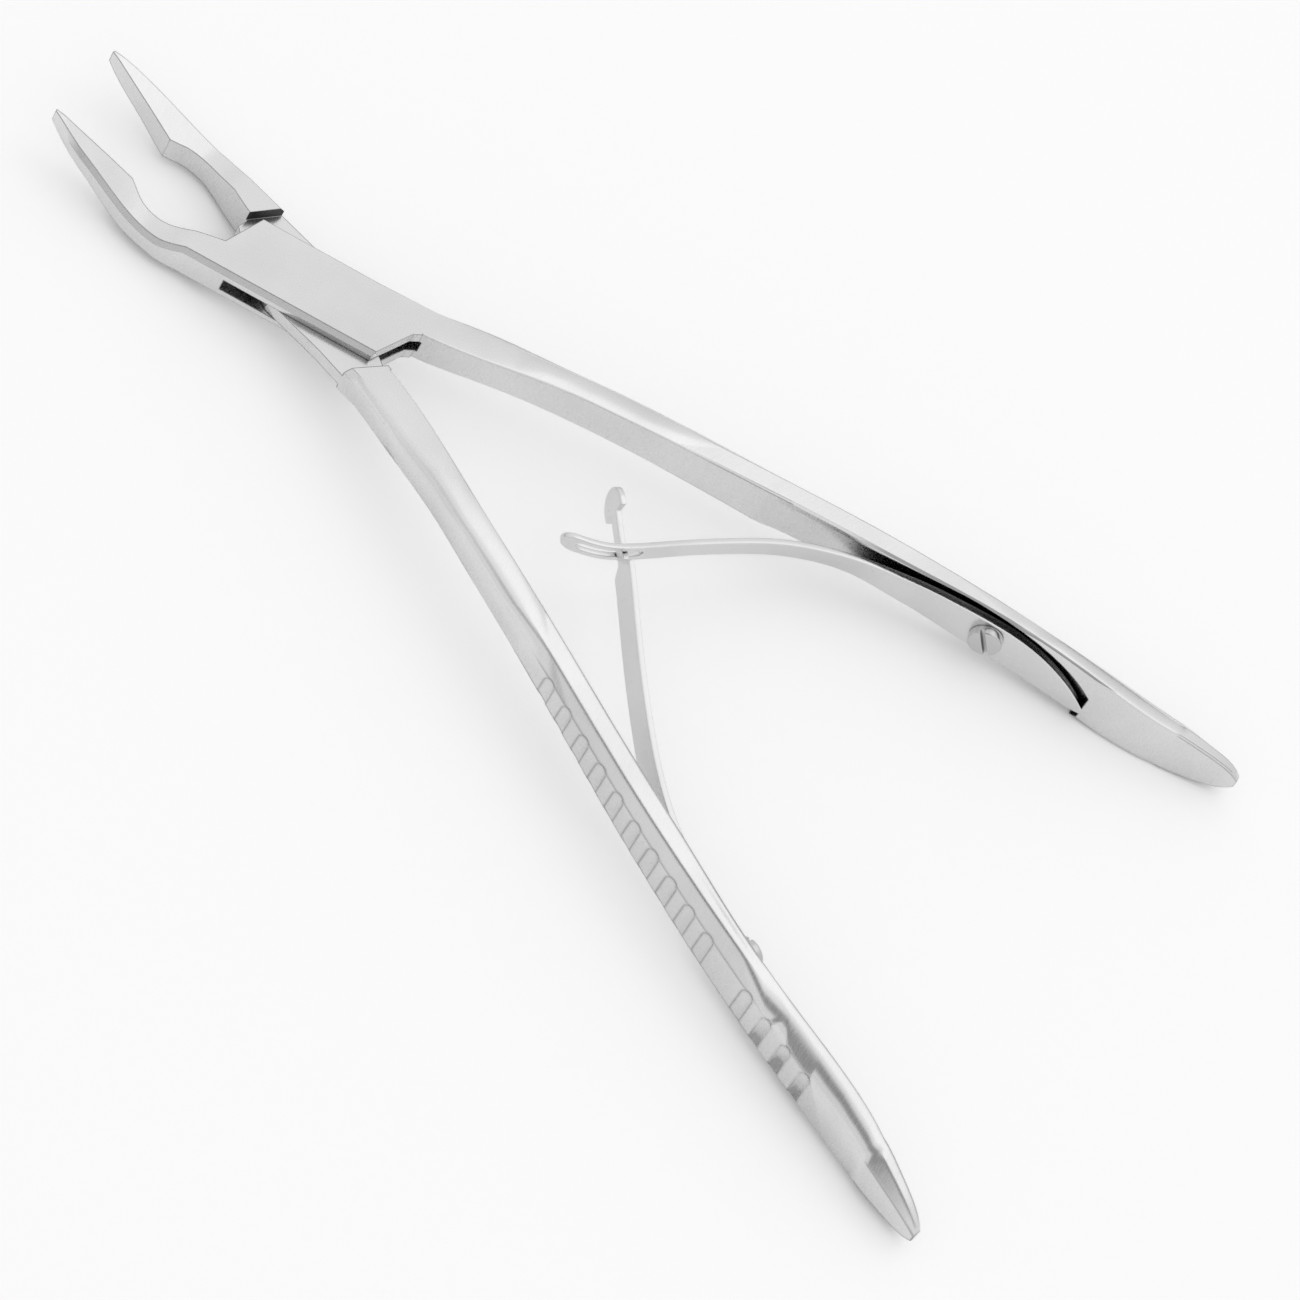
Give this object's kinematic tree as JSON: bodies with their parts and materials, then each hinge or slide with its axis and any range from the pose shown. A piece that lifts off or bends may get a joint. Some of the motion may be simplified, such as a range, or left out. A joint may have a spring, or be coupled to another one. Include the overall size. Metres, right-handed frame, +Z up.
{
  "type": "bone rongeur",
  "caption": "Slender angled bone rongeur with a box lock, hollow scoop jaws, and interlocking leaf springs that hold the notched handles open.",
  "frame": {"origin": "where the pivot axis meets the flat underside of the box lock", "axes": "+X runs to the jaw tips, +Z is up from the surface the closed side rests on, the pivot axis leans 8.2 degrees from +Z towards +X"},
  "size_m": [0.1508, 0.0814, 0.0103],
  "materials": {
    "steel": "satin"
  },
  "bodies": {
    "female": {"female_half": "steel", "pivot_pin": "steel", "slotted_spring": "steel", "slotted_spring_screw": "steel"},
    "male": {"male_half": "steel", "headed_spring": "steel", "headed_spring_screw": "steel"}
  },
  "joints": [
    {"name": "jaw_pivot", "type": "hinge", "parent": "female", "child": "male", "pos_m": [0.00031, 0, 0.00218], "axis": [0.1426, 0, 0.9898], "range_deg": [0, 19.8], "stiffness_Nm_per_rad": 1.5, "springref_deg": -1.72, "deforming": ["slotted_spring", "headed_spring"]}
  ]
}
